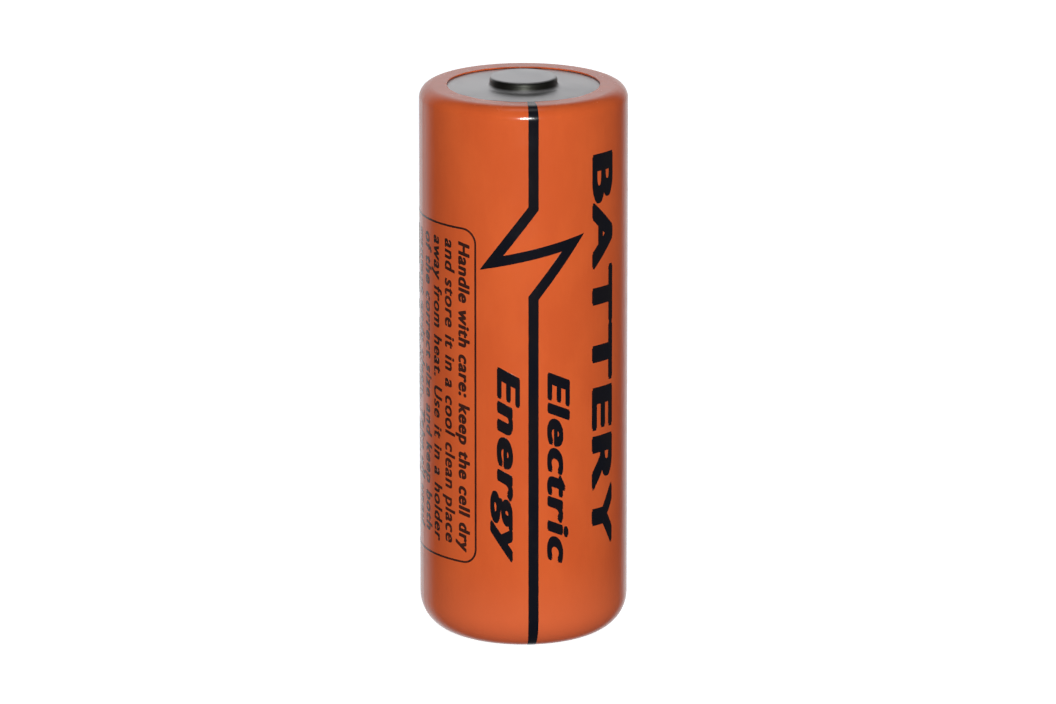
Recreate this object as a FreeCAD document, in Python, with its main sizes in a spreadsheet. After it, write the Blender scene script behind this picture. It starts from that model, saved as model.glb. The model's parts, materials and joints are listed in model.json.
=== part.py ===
import FreeCAD, Part

import math
import os

import Sketcher

# A primary lithium cell of the 18505 size, 18.5 mm across and 50.5 mm tall, built as a
# bobbin: a steel can is the negative pole, lithium foil lines its wall, and a carbon core
# in the middle is the positive pole, led out through a glass seal to a cap with a nub.
# The cell stands on its negative end, +Z points to the nub, and the origin is the centre
# of the face it stands on. Lengths are millimetres.

DRIVING_SIZES = [
    # name, size, what it is
    ("cell_diameter", 18.5, "over the film sleeve"),
    ("cell_height", 50.5, "from the base to the top of the nub"),
    ("film_wall", 0.12, "thickness of the shrunk film"),
    ("top_shoulder_radius", 1.2, "outer rounding of the sleeve at the top"),
    ("bottom_corner_radius", 3.2, "outer rounding of the sleeve at the base"),
    ("sleeve_lap_top", 1.3, "how far the film runs in past the shoulder"),
    ("sleeve_lap_bottom", 0.8, "how far the film runs in past the base corner"),
    ("nub_diameter", 6.0, "outside of the positive nub"),
    ("nub_stand", 0.75, "nub top above the sleeve's rim"),
    ("nub_edge_radius", 0.32, "outer rounding round the nub's top"),
    ("nub_root_radius", 0.4, "outer rounding where the nub meets its flange"),
    ("cap_recess", 0.15, "cap flange below the sleeve's rim"),
    ("cap_sheet", 0.3, "sheet thickness of the cap"),
    ("cap_fit", 0.1, "play of the cap in its seat"),
    ("spacer_lip", 0.75, "width of the lip round the cap's seat"),
    ("spacer_band", 1.2, "straight outer wall of the spacer over the can's rim"),
    ("spacer_web", 0.8, "floor that carries the cap"),
    ("spacer_wall", 1.2, "wall of the spigot inside the lid's dish"),
    ("spacer_bore", 5.0, "hole in the web for the fill tube"),
    ("spacer_rib", 0.7, "thickness of the ribs under the web"),
    ("spacer_fit", 0.05, "play of the spigot in the lid's dish"),
    ("board_sheet", 0.25, "fibre washer on the lid"),
    ("board_fit", 0.1, "play of the fibre washer"),
    ("can_wall", 0.4, "side wall of the can"),
    ("can_base", 0.5, "base of the can"),
    ("lid_sheet", 0.6, "sheet thickness of the lid"),
    ("lid_depth", 1.5, "depth of the lid's dish below the can's rim"),
    ("lid_fit", 0.03, "radial play of the lid in the can before welding"),
    ("lid_bend_radius", 0.35, "inner rounding of the lid's dish"),
    ("collar_wall", 0.5, "wall of the collar round the glass"),
    ("glass_diameter", 4.8, "outside of the glass bead"),
    ("glass_height", 1.8, "height of the glass bead"),
    ("glass_dip", 0.2, "how far the glass sags between its walls"),
    ("tube_diameter", 2.2, "outside of the fill tube"),
    ("tube_bore", 1.1, "filling bore"),
    ("tube_tail", 0.8, "fill tube below the glass"),
    ("ball_diameter", 1.4, "sealing ball"),
    ("ball_fit", 0.02, "radial play round the ball and the plug"),
    ("ball_gap", 0.1, "room between the ball and the plug"),
    ("plug_sheet", 0.4, "closing plug over the ball"),
    ("anode_sheet", 1.0, "lithium foil"),
    ("anode_gap", 3.0, "gap between the ends of the rolled foil"),
    ("separator_sheet", 0.3, "glass-fibre paper"),
    ("separator_tail", 1.2, "separator tube below the lithium"),
    ("separator_stand", 0.5, "separator tube above the lithium"),
    ("lap_fit", 0.3, "room each side of the separator's lap"),
    ("cup_rim", 0.4, "straight rim of the separator cup"),
    ("electrode_fit", 0.05, "radial play between the rolled layers"),
    ("cathode_edge", 0.3, "chamfer round the top of the carbon core"),
    ("head_space", 2.8, "from the carbon core up to the lid's collar"),
    ("collector_diameter", 4.6, "outside of the mesh tube"),
    ("collector_stand", 0.6, "mesh tube above the carbon core"),
    ("mesh_sheet", 0.2, "metal of the mesh tube"),
    ("mesh_opening_width", 1.0, "diamond opening across"),
    ("mesh_opening_height", 2.0, "diamond opening along the tube"),
    ("mesh_pitch", 2.6, "spacing of the rows of openings"),
    ("mesh_margin", 2.4, "tube end to the middle of the first row"),
    ("tab_width", 1.6, "nickel strip"),
    ("tab_sheet", 0.15, "thickness of the strip"),
    ("tab_reach", 5.0, "strip inside the mesh tube"),
    ("tab_bend_radius", 0.5, "outer rounding of the strip's bend"),
    ("tab_fit", 0.02, "room between the strip and the mesh"),
    ("washer_sheet", 0.5, "insulating washer under the lid"),
    ("washer_fit", 0.1, "radial play of the washers"),
    ("liquid_drop", 8.0, "free electrolyte below the top of the carbon core"),
]
OPENINGS_ROUND = 4  # each cutter goes through both walls, so eight openings a row
RIBS = 6
SHEET = "Sizes"
UP = FreeCAD.Vector(0, 0, 1)


class Dim:
    """A length that carries its number and the sheet expression that gives it."""

    def __init__(self, value, text):
        self.value = float(value)
        self.text = text

    def __add__(self, other):
        other = dim(other)
        return Dim(self.value + other.value, f"({self.text} + {other.text})")

    def __sub__(self, other):
        other = dim(other)
        return Dim(self.value - other.value, f"({self.text} - {other.text})")

    def __mul__(self, other):
        other = dim(other)
        return Dim(self.value * other.value, f"({self.text} * {other.text})")

    def __truediv__(self, other):
        other = dim(other)
        return Dim(self.value / other.value, f"({self.text} / {other.text})")

    def __neg__(self):
        return Dim(-self.value, f"-{self.text}")

    def sqrt(self):
        return Dim(math.sqrt(self.value), f"sqrt({self.text})")

    def floor(self):
        return Dim(math.floor(self.value), f"floor({self.text})")


def dim(number):
    return number if isinstance(number, Dim) else Dim(number, str(number))


DEGREES = Dim(180 / math.pi, "(180 / pi)")
doc = FreeCAD.newDocument("lithium_cell")


def driving_sheet():
    """Fills the spreadsheet with the driving sizes and returns them by name."""
    sheet = doc.addObject("Spreadsheet::Sheet", SHEET)
    sizes = {}
    for row, (name, size, meaning) in enumerate(DRIVING_SIZES, start=1):
        sheet.set(f"A{row}", name)
        sheet.set(f"B{row}", str(size))
        sheet.set(f"C{row}", meaning)
        sheet.setAlias(f"B{row}", name)
        sizes[name] = Dim(size, f"{SHEET}.{name}")
    doc.recompute()
    return sizes


S = driving_sheet()

# Radii of the layers, from the outside in.
cell_r = S["cell_diameter"] / 2
can_r = cell_r - S["film_wall"]
can_bore_r = can_r - S["can_wall"]
can_corner_r = S["bottom_corner_radius"] - S["film_wall"]
can_inner_corner_r = can_corner_r - S["can_wall"]
anode_bore_r = can_bore_r - S["anode_sheet"]
separator_r = anode_bore_r - S["electrode_fit"]
separator_bore_r = separator_r - S["separator_sheet"]
cathode_r = separator_bore_r - S["electrode_fit"]
collector_r = S["collector_diameter"] / 2
collector_bore_r = collector_r - S["mesh_sheet"]
lid_r = can_bore_r - S["lid_fit"]
dish_r = lid_r - S["lid_sheet"]
spigot_r = dish_r - S["spacer_fit"]
glass_r = S["glass_diameter"] / 2
collar_r = glass_r + S["collar_wall"]
tube_r = S["tube_diameter"] / 2
tube_bore_r = S["tube_bore"] / 2
ball_r = S["ball_diameter"] / 2
plug_bore_r = ball_r + S["ball_fit"]
shoulder_r = S["top_shoulder_radius"] - S["film_wall"]
cap_seat_r = cell_r - S["top_shoulder_radius"] - S["spacer_lip"]
cap_r = cap_seat_r - S["cap_fit"]
nub_r = S["nub_diameter"] / 2

# Heights above the base, from the top down.
rim_z = S["cell_height"] - S["nub_stand"]
lip_z = rim_z - S["film_wall"]
cap_z = rim_z - S["cap_recess"] - S["cap_sheet"]
nub_inside_z = S["cell_height"] - S["cap_sheet"]
can_rim_z = rim_z - S["top_shoulder_radius"] - S["spacer_band"]
dish_z = can_rim_z - S["lid_depth"]
spigot_z = dish_z + S["board_sheet"]
collar_z = dish_z - S["glass_height"]
tube_z = collar_z - S["tube_tail"]
cathode_top_z = collar_z - S["head_space"]
can_floor_z = S["film_wall"] + S["can_base"]
cup_floor_z = can_floor_z + S["separator_sheet"]
cup_height = can_inner_corner_r + S["cup_rim"]
anode_z = can_floor_z + cup_height


def origin_feature(body, role):
    """One of the body's own origin planes or axes."""
    return [f for f in body.Origin.OriginFeatures if f.Role == role][0]


def locate(rules, bound, point, x, y):
    """Adds the rules that hold a sketch point at x, y, on an axis where either is 0."""
    if x == 0 and y == 0:
        rules.append(Sketcher.Constraint("Coincident", point, 1, -1, 1))
        return
    for kind, size, axis in (("DistanceX", x, -2), ("DistanceY", y, -1)):
        if isinstance(size, Dim):
            bound[len(rules)] = size
            rules.append(Sketcher.Constraint(kind, -1, 1, point, 1, size.value))
        else:
            rules.append(Sketcher.Constraint("PointOnObject", point, 1, axis))


def rounded_corner(before, corner, after, radius):
    """Where a rounding leaves its two lines, its centre, and whether it turns left."""
    to_before = (before - corner).normalize()
    to_after = (after - corner).normalize()
    half = to_before.getAngle(to_after) / 2
    run = radius / math.tan(half)
    centre = corner + (to_before + to_after).normalize() * (radius / math.sin(half))
    turns_left = (corner - before).cross(after - corner).z > 0
    return corner + to_before * run, corner + to_after * run, centre, turns_left


def closed_outline(body, name, corners, role="XZ_Plane", turn=0):
    """A closed sketch with every corner located, each given as (x, y) or (x, y, radius).

    It is drawn on one of the body's origin planes, turned about Z by turn degrees."""
    sketch = body.newObject("Sketcher::SketchObject", name)
    sketch.AttachmentSupport = [(origin_feature(body, role), "")]
    sketch.MapMode = "FlatFace"
    if turn:
        about_height = FreeCAD.Rotation(FreeCAD.Vector(0, 1, 0), turn)
        sketch.AttachmentOffset = FreeCAD.Placement(FreeCAD.Vector(), about_height)
    spots = [FreeCAD.Vector(dim(c[0]).value, dim(c[1]).value, 0) for c in corners]
    count = len(corners)
    rules, bound, points, arcs, ends = [], {}, [], {}, []
    for i, corner in enumerate(corners):
        points.append(sketch.addGeometry(Part.Point(spots[i]), True))
        locate(rules, bound, points[i], corner[0], corner[1])
        if len(corner) == 2:
            ends.append((spots[i], spots[i]))
            continue
        radius = corner[2]
        start, end, centre, turns_left = rounded_corner(
            spots[i - 1], spots[i], spots[(i + 1) % count], radius.value
        )
        first, last = (start, end) if turns_left else (end, start)
        angles = [math.atan2(p.y - centre.y, p.x - centre.x) for p in (first, last)]
        circle = Part.Circle(centre, UP, radius.value)
        arc = sketch.addGeometry(Part.ArcOfCircle(circle, *angles))
        arcs[i] = (arc, turns_left, radius)
        ends.append((start, end))
    lines = []
    for i in range(count):
        run = Part.LineSegment(ends[i][1], ends[(i + 1) % count][0])
        lines.append(sketch.addGeometry(run))
    for i in range(count):
        before, after = lines[i - 1], lines[i]
        if i not in arcs:
            rules.append(Sketcher.Constraint("Coincident", before, 2, points[i], 1))
            rules.append(Sketcher.Constraint("Coincident", after, 1, points[i], 1))
            continue
        arc, turns_left, radius = arcs[i]
        first, last = (1, 2) if turns_left else (2, 1)
        rules.append(Sketcher.Constraint("PointOnObject", points[i], 1, before))
        rules.append(Sketcher.Constraint("PointOnObject", points[i], 1, after))
        rules.append(Sketcher.Constraint("Tangent", before, 2, arc, first))
        rules.append(Sketcher.Constraint("Tangent", after, 1, arc, last))
        bound[len(rules)] = radius
        rules.append(Sketcher.Constraint("Radius", arc, radius.value))
    sketch.addConstraint(rules)
    for index, size in bound.items():
        sketch.setExpression(f"Constraints[{index}]", size.text)
    return sketch


def new_body(label):
    body = doc.addObject("PartDesign::Body", label)
    body.Label = label
    return body


def turned(body, name, corners, angle=None):
    """Revolves an outline about Z, all round or through an angle centred on +X."""
    sketch = closed_outline(body, name + "_outline", corners)
    feature = body.newObject("PartDesign::Revolution", name)
    feature.Profile = sketch
    feature.ReferenceAxis = (sketch, ["V_Axis"])
    feature.Angle = 360
    if angle:
        feature.Midplane = True
        feature.setExpression("Angle", angle.text)
    return feature


def padded_strip(body, name, corners, width):
    """Pads an outline on the XZ plane to both sides by half a width each."""
    sketch = closed_outline(body, name + "_outline", corners)
    feature = body.newObject("PartDesign::Pad", name)
    feature.Profile = sketch
    feature.Midplane = True
    feature.setExpression("Length", width.text)
    return feature


def stand(body, height, turn=0):
    """Stands a body at its height in the cell."""
    body.Placement = FreeCAD.Placement(UP * height.value, FreeCAD.Rotation(UP, turn))
    body.setExpression("Placement.Base.z", height.text)


def square_ring(bore_r, outer_r, bottom, top):
    """The outline of a plain ring or tube."""
    return [(bore_r, bottom), (outer_r, bottom), (outer_r, top), (bore_r, top)]


def make_shrink_sleeve():
    """The printed film that wraps the side and turns in over both ends."""
    body = new_body("shrink_sleeve")
    wall = S["film_wall"]
    top_edge_r = cell_r - S["top_shoulder_radius"] - S["sleeve_lap_top"]
    bottom_edge_r = cell_r - S["bottom_corner_radius"] - S["sleeve_lap_bottom"]
    corners = [
        (bottom_edge_r, 0),
        (cell_r, 0, S["bottom_corner_radius"]),
        (cell_r, rim_z, S["top_shoulder_radius"]),
        (top_edge_r, rim_z),
        (top_edge_r, lip_z),
        (can_r, lip_z, shoulder_r),
        (can_r, wall, can_corner_r),
        (bottom_edge_r, wall),
    ]
    turned(body, "sleeve_film", corners)


def make_positive_cap():
    """The pressed hat: a flat flange with the contact nub in its middle."""
    body = new_body("positive_cap")
    sheet = S["cap_sheet"]
    nub_height = S["nub_stand"] + S["cap_recess"] + sheet
    inside_r = nub_r - sheet
    inside_height = nub_height - sheet
    corners = [
        (0, inside_height),
        (inside_r, inside_height, S["nub_edge_radius"] / 2),
        (inside_r, 0, S["nub_root_radius"]),
        (cap_r, 0),
        (cap_r, sheet),
        (nub_r, sheet, S["nub_root_radius"]),
        (nub_r, nub_height, S["nub_edge_radius"]),
        (0, nub_height),
    ]
    turned(body, "cap_pressing", corners)
    stand(body, cap_z)


def make_cap_spacer():
    """The moulded insulator that carries the cap on the lid and forms the shoulder."""
    body = new_body("cap_spacer")
    bore_r = S["spacer_bore"] / 2
    shelf = can_rim_z - spigot_z
    seat = cap_z - spigot_z
    web_bottom = seat - S["spacer_web"]
    wall_bore_r = spigot_r - S["spacer_wall"]
    corners = [
        (bore_r, web_bottom),
        (wall_bore_r, web_bottom),
        (wall_bore_r, 0),
        (spigot_r, 0),
        (spigot_r, shelf),
        (can_r, shelf),
        (can_r, lip_z - spigot_z, shoulder_r),
        (cap_seat_r, lip_z - spigot_z),
        (cap_seat_r, seat),
        (bore_r, seat),
    ]
    turned(body, "spacer_ring", corners)
    into_wall = wall_bore_r + S["spacer_wall"] / 2
    into_web = web_bottom + S["spacer_web"] / 2
    rib_start_r = collar_r + S["spacer_wall"]
    rib = padded_strip(
        body,
        "spacer_rib",
        [(rib_start_r, 0), (into_wall, 0), (into_wall, into_web), (rib_start_r, into_web)],
        S["spacer_rib"],
    )
    ribs = body.newObject("PartDesign::PolarPattern", "spacer_ribs")
    ribs.Originals = [rib]
    ribs.Axis = (origin_feature(body, "Z_Axis"), [""])
    ribs.Angle = 360
    ribs.Occurrences = RIBS
    body.Tip = ribs
    stand(body, spigot_z)


def make_lid_board():
    """The fibre washer that lies in the lid's dish, under the spacer."""
    body = new_body("lid_board")
    bore_r = glass_r + S["board_fit"]
    flat_r = dish_r - S["lid_bend_radius"]
    ring = square_ring(bore_r, flat_r - S["board_fit"], 0, S["board_sheet"])
    turned(body, "board_ring", ring)
    stand(body, dish_z)


def make_lid():
    """The dished steel lid, welded into the can's rim, with the collar for the glass."""
    body = new_body("lid")
    floor_top = S["glass_height"]
    floor_bottom = floor_top - S["lid_sheet"]
    rim = floor_top + S["lid_depth"]
    bend = S["lid_bend_radius"]
    corners = [
        (glass_r, 0),
        (collar_r, 0),
        (collar_r, floor_bottom, bend),
        (lid_r, floor_bottom, bend + S["lid_sheet"] / 2),
        (lid_r, rim),
        (dish_r, rim),
        (dish_r, floor_top, bend),
        (glass_r, floor_top),
    ]
    turned(body, "lid_pressing", corners)
    stand(body, collar_z)


def make_glass_seal():
    """The glass bead fused between the lid's collar and the fill tube."""
    body = new_body("glass_seal")
    top = S["glass_height"]
    dip = S["glass_dip"]
    creep = (glass_r - tube_r) / 4
    inner, outer = tube_r + creep, glass_r - creep
    corners = [
        (tube_r, 0),
        (inner, dip, creep),
        (outer, dip, creep),
        (glass_r, 0),
        (glass_r, top),
        (outer, top - dip, creep),
        (inner, top - dip, creep),
        (tube_r, top),
    ]
    turned(body, "glass_bead", corners)
    stand(body, collar_z)


# The ball rests on the edge of the filling bore, below the plug.
ball_over_seat = (ball_r * ball_r - tube_bore_r * tube_bore_r).sqrt()
plug_z = nub_inside_z - S["plug_sheet"]
ball_centre_z = plug_z - S["ball_gap"] - ball_r
ball_seat_z = ball_centre_z - ball_over_seat


def make_terminal_tube():
    """The hollow positive pin: the cell is filled through it, and the cap sits on it."""
    body = new_body("terminal_tube")
    seat = ball_seat_z - tube_z
    top = nub_inside_z - tube_z
    corners = [
        (tube_bore_r, 0),
        (tube_r, 0),
        (tube_r, top),
        (plug_bore_r, top),
        (plug_bore_r, seat),
        (tube_bore_r, seat),
    ]
    turned(body, "tube_wall", corners)
    stand(body, tube_z)


def make_fill_ball():
    """The steel ball that stops the filling bore."""
    ball = doc.addObject("Part::Sphere", "fill_ball")
    ball.Label = "fill_ball"
    ball.setExpression("Radius", ball_r.text)
    stand(ball, ball_centre_z)


def make_tube_plug():
    """The disc welded into the tube's mouth over the ball."""
    body = new_body("tube_plug")
    top = S["plug_sheet"]
    plug_r = plug_bore_r - S["ball_fit"]
    edge = top / 4
    corners = [(0, 0), (plug_r - edge, 0), (plug_r, edge), (plug_r, top), (0, top)]
    turned(body, "plug_disc", corners)
    stand(body, plug_z)


def make_can():
    """The deep-drawn steel can, the cell's negative pole."""
    body = new_body("cell_can")
    height = can_rim_z - S["film_wall"]
    corners = [
        (0, 0),
        (can_r, 0, can_corner_r),
        (can_r, height),
        (can_bore_r, height),
        (can_bore_r, S["can_base"], can_inner_corner_r),
        (0, S["can_base"]),
    ]
    turned(body, "can_drawing", corners)
    stand(body, S["film_wall"])


def make_lithium_anode():
    """The lithium foil, rolled against the can's wall, its ends apart at the back."""
    body = new_body("lithium_anode")
    middle_r = can_bore_r - S["anode_sheet"] / 2
    angle = dim(360) - S["anode_gap"] / middle_r * DEGREES
    foil = square_ring(anode_bore_r, can_bore_r, 0, cathode_top_z - anode_z)
    turned(body, "anode_foil", foil, angle)
    stand(body, anode_z, turn=-90)


def make_separator_tube():
    """The rolled glass-fibre paper, whose lap lies in the gap of the lithium foil."""
    body = new_body("separator_tube")
    height = cathode_top_z - anode_z + S["separator_tail"] + S["separator_stand"]
    turned(body, "paper_roll", square_ring(separator_bore_r, separator_r, 0, height))
    lap_bottom = S["separator_tail"]
    lap_top = height - S["separator_stand"]
    lap_r = separator_r + S["separator_sheet"]
    lap_width = S["anode_gap"] - S["lap_fit"] * 2
    inside_roll_r = separator_r - S["separator_sheet"] / 2
    turned(
        body,
        "paper_lap",
        square_ring(inside_roll_r, lap_r, lap_bottom, lap_top),
        lap_width / lap_r * DEGREES,
    )
    stand(body, anode_z - S["separator_tail"], turn=90)


def make_separator_cup():
    """The glass-fibre cup pressed into the base of the can."""
    body = new_body("separator_cup")
    sheet = S["separator_sheet"]
    corners = [
        (0, 0),
        (can_bore_r, 0, can_inner_corner_r),
        (can_bore_r, cup_height),
        (can_bore_r - sheet, cup_height),
        (can_bore_r - sheet, sheet, can_inner_corner_r - sheet),
        (0, sheet),
    ]
    turned(body, "cup_paper", corners)
    stand(body, can_floor_z)


def make_carbon_cathode():
    """The porous carbon core, bevelled at the foot to clear the cup's corner."""
    body = new_body("carbon_cathode")
    height = cathode_top_z - cup_floor_z
    foot_r = can_bore_r - can_inner_corner_r - S["electrode_fit"]
    bevel = cathode_r - foot_r
    edge = S["cathode_edge"]
    corners = [
        (collector_r, 0),
        (foot_r, 0),
        (cathode_r, bevel),
        (cathode_r, height - edge),
        (cathode_r - edge, height),
        (collector_r, height),
    ]
    turned(body, "carbon_core", corners)
    stand(body, cup_floor_z)


def cut_openings(body, name, first_row, turn):
    """Cuts rows of diamond openings through both walls of the mesh tube."""
    half_width = S["mesh_opening_width"] / 2
    half_height = S["mesh_opening_height"] / 2
    tube_height = cathode_top_z + S["collector_stand"] - cup_floor_z
    corners = [
        (-half_width, first_row),
        (0, first_row - half_height),
        (half_width, first_row),
        (0, first_row + half_height),
    ]
    sketch = closed_outline(body, name + "_outline", corners, turn=turn)
    cut = body.newObject("PartDesign::Pocket", name)
    cut.Profile = sketch
    cut.Midplane = True
    cut.Length = collector_r.value * 4
    cut.setExpression("Length", (collector_r * 4).text)
    rows = body.newObject("PartDesign::MultiTransform", name + "_rows")
    rows.Originals = [cut]
    up = body.newObject("PartDesign::LinearPattern", name + "_up")
    up.Direction = (origin_feature(body, "Z_Axis"), [""])
    up.Mode = "Spacing"
    up.setExpression("Offset", S["mesh_pitch"].text)
    last_row = tube_height - S["mesh_margin"] - first_row
    up.setExpression("Occurrences", ((last_row / S["mesh_pitch"]).floor() + 1).text)
    about = body.newObject("PartDesign::PolarPattern", name + "_round")
    about.Axis = (origin_feature(body, "Z_Axis"), [""])
    about.Angle = 180
    about.Occurrences = OPENINGS_ROUND
    rows.Transformations = [up, about]
    body.Tip = rows
    return rows


def make_collector_mesh():
    """The rolled metal mesh in the core, with staggered diamond openings."""
    body = new_body("collector_mesh")
    height = cathode_top_z + S["collector_stand"] - cup_floor_z
    turned(body, "mesh_tube", square_ring(collector_bore_r, collector_r, 0, height))
    doc.recompute()
    stagger = 180 / OPENINGS_ROUND / 2
    cut_openings(body, "diamonds", S["mesh_margin"], 0)
    doc.recompute()
    cut_openings(body, "offset_diamonds", S["mesh_margin"] + S["mesh_pitch"] / 2, stagger)
    stand(body, cup_floor_z)


def make_collector_tab():
    """The nickel strip from the mesh tube up to the foot of the fill tube."""
    body = new_body("collector_tab")
    sheet = S["tab_sheet"]
    half_width = S["tab_width"] / 2
    chord = (collector_bore_r * collector_bore_r - half_width * half_width).sqrt()
    leg = chord - S["tab_fit"]
    bend = S["tab_bend_radius"]
    foot = cathode_top_z + S["collector_stand"] - S["tab_reach"]
    top = tube_z - foot
    corners = [
        (leg, 0),
        (leg, top, bend),
        (-tube_r, top),
        (-tube_r, top - sheet),
        (leg - sheet, top - sheet, bend - sheet),
        (leg - sheet, 0),
    ]
    padded_strip(body, "tab_strip", corners, S["tab_width"])
    stand(body, foot)


def make_core_washer():
    """The glass-fibre washer on top of the carbon core."""
    body = new_body("core_washer")
    outer_r = separator_bore_r - S["washer_fit"]
    bore_r = collector_r + S["washer_fit"]
    turned(body, "core_paper", square_ring(bore_r, outer_r, 0, S["separator_sheet"]))
    stand(body, cathode_top_z)


def make_top_insulator():
    """The plastic washer that holds the separator tube down under the lid."""
    body = new_body("top_insulator")
    outer_r = can_bore_r - S["washer_fit"]
    bore_r = collector_r + S["washer_fit"]
    turned(body, "top_ring", square_ring(bore_r, outer_r, 0, S["washer_sheet"]))
    stand(body, cathode_top_z + S["separator_stand"])


def make_electrolyte():
    """The free liquid electrolyte that stands inside the mesh tube."""
    liquid = doc.addObject("Part::Cylinder", "electrolyte")
    liquid.Label = "electrolyte"
    liquid.setExpression("Radius", (collector_bore_r - S["tab_fit"]).text)
    height = cathode_top_z - S["liquid_drop"] - cup_floor_z
    liquid.setExpression("Height", height.text)
    stand(liquid, cup_floor_z)


def check_document():
    """Stops if any object failed, a sketch can still move, or a piece isn't sound."""
    for item in doc.Objects:
        if "Invalid" in item.State or "Error" in item.State:
            raise RuntimeError(f"{item.Name} failed: {item.State}")
        if item.TypeId == "Sketcher::SketchObject" and not item.FullyConstrained:
            raise RuntimeError(f"{item.Name} isn't fully constrained")


def sub_parts():
    kinds = ("PartDesign::Body", "Part::Sphere", "Part::Cylinder")
    return [item for item in doc.Objects if item.TypeId in kinds]


def write_parts():
    """Writes each sub-part to its own file, named by its label."""
    os.makedirs("parts", exist_ok=True)
    for item in sub_parts():
        shape = item.Shape
        if shape.isNull() or not shape.isValid() or shape.Volume <= 0:
            raise RuntimeError(f"{item.Label} isn't a sound solid")
        shape.exportStep(os.path.join("parts", item.Label + ".step"))
        print(f"{item.Label}: {len(shape.Solids)} solid, {shape.Volume:.1f} mm3")


make_shrink_sleeve()
make_positive_cap()
make_cap_spacer()
make_lid_board()
make_lid()
make_glass_seal()
make_terminal_tube()
make_fill_ball()
make_tube_plug()
make_can()
make_lithium_anode()
make_separator_tube()
make_separator_cup()
make_carbon_cathode()
make_collector_mesh()
make_collector_tab()
make_core_washer()
make_top_insulator()
make_electrolyte()
doc.recompute()
check_document()
write_parts()
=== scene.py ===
# %% [markdown]
# # A lithium cell in a printed film sleeve
#
# The object is a primary lithium cell, 18.5 mm across and 50.5 mm tall. A glossy orange film is
# shrunk round a steel can, and a nickel-plated cap with a raised nub closes the top. The packed
# model holds the shapes and places of all nineteen parts, down to the ball that seals the
# filling tube. This script makes the film, the cap and the printing again in finer detail, and
# gives every part its finish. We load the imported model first, because the main sizes are read
# from it.

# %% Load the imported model
import json
import math

import bmesh
import bpy
from mathutils import Matrix, Vector, noise

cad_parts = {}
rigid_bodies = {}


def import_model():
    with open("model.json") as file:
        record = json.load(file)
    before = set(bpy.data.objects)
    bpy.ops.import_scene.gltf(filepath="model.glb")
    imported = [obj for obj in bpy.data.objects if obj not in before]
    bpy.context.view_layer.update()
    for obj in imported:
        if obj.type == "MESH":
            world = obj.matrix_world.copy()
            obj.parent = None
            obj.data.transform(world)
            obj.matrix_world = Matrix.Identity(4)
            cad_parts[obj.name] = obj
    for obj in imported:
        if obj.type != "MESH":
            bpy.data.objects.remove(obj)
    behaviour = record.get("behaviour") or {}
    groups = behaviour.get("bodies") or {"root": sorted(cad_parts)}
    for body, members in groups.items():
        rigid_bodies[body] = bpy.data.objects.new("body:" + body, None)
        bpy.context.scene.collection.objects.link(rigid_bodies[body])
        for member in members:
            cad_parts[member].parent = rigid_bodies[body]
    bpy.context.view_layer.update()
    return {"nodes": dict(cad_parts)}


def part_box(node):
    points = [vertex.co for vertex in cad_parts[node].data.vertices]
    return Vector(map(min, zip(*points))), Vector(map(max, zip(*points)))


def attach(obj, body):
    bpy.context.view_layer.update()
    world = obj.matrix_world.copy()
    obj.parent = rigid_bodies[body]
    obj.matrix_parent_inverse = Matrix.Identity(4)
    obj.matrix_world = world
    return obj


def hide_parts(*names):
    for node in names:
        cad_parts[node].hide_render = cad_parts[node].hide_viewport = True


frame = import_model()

MM = 0.001
sleeve_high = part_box("shrink_sleeve")[1]
cap_low, cap_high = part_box("positive_cap")
CELL_R = sleeve_high.x
RIM_Z = sleeve_high.z
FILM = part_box("cell_can")[0].z
CAP_R = cap_high.x
print(f"cell radius {CELL_R / MM:.2f} mm, rim at {RIM_Z / MM:.2f} mm, film {FILM / MM:.2f} mm")

# %% [markdown]
# ## The camera
#
# A small object looks like a product shot when the camera stands well back with a long lens: the
# cylinder's sides stay nearly parallel. The camera here is about three quarters of a metre away
# and fifteen degrees above the level of the cell's middle. It aims a little beside the middle
# and above it, which sets the cell slightly off centre without any lens shift.

# %% Place the camera
CAMERA_DISTANCE = 0.7507
CAMERA_ELEVATION = math.radians(15.11)
AIM_RIGHT = 0.40 * MM
AIM_UP = 0.35 * MM
LENS = 287.4
SENSOR = 36.0

back_ward = Vector((0, -math.cos(CAMERA_ELEVATION), math.sin(CAMERA_ELEVATION)))
up_ward = Vector((0, math.sin(CAMERA_ELEVATION), math.cos(CAMERA_ELEVATION)))
cell_middle = Vector((0, 0, RIM_Z / 2))
aim = cell_middle + Vector((1, 0, 0)) * AIM_RIGHT + up_ward * AIM_UP

camera = bpy.data.objects.new("camera", bpy.data.cameras.new("camera"))
camera.data.lens = LENS
camera.data.sensor_width = SENSOR
camera.data.clip_start = 0.01
camera.data.clip_end = 20
camera.location = aim + back_ward * CAMERA_DISTANCE
camera.rotation_mode = "QUATERNION"
camera.rotation_quaternion = (-back_ward).to_track_quat("-Z", "Y")
bpy.context.scene.collection.objects.link(camera)
bpy.context.scene.camera = camera
print("camera at", [round(x, 3) for x in camera.location])

# %% [markdown]
# ## Helpers for shaping
#
# Nearly every part of a cell is turned: a closed outline swept once round the axis. In the
# editor this is a few vertices joined by edges, some corners rounded with a vertex bevel, and
# the Spin tool. `outline` and `spun` do the same with bmesh operators. The spin merges its last
# ring into its first, and points on the axis are merged afterwards, so the shape is closed.

# %% Turn an outline about Z
def outline(corners, roundings):
    """A closed wire of (radius, height) corners; roundings are (index, radius, segments)."""
    bm = bmesh.new()
    verts = [bm.verts.new((r, 0, z)) for r, z in corners]
    for a, b in zip(verts, verts[1:] + verts[:1]):
        bm.edges.new((a, b))
    for index, radius, segments in roundings:
        bmesh.ops.bevel(
            bm, geom=[verts[index]], offset=radius, offset_type="OFFSET", affect="VERTICES",
            segments=segments, profile=0.5, material=-1,
        )
    return bm


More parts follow.
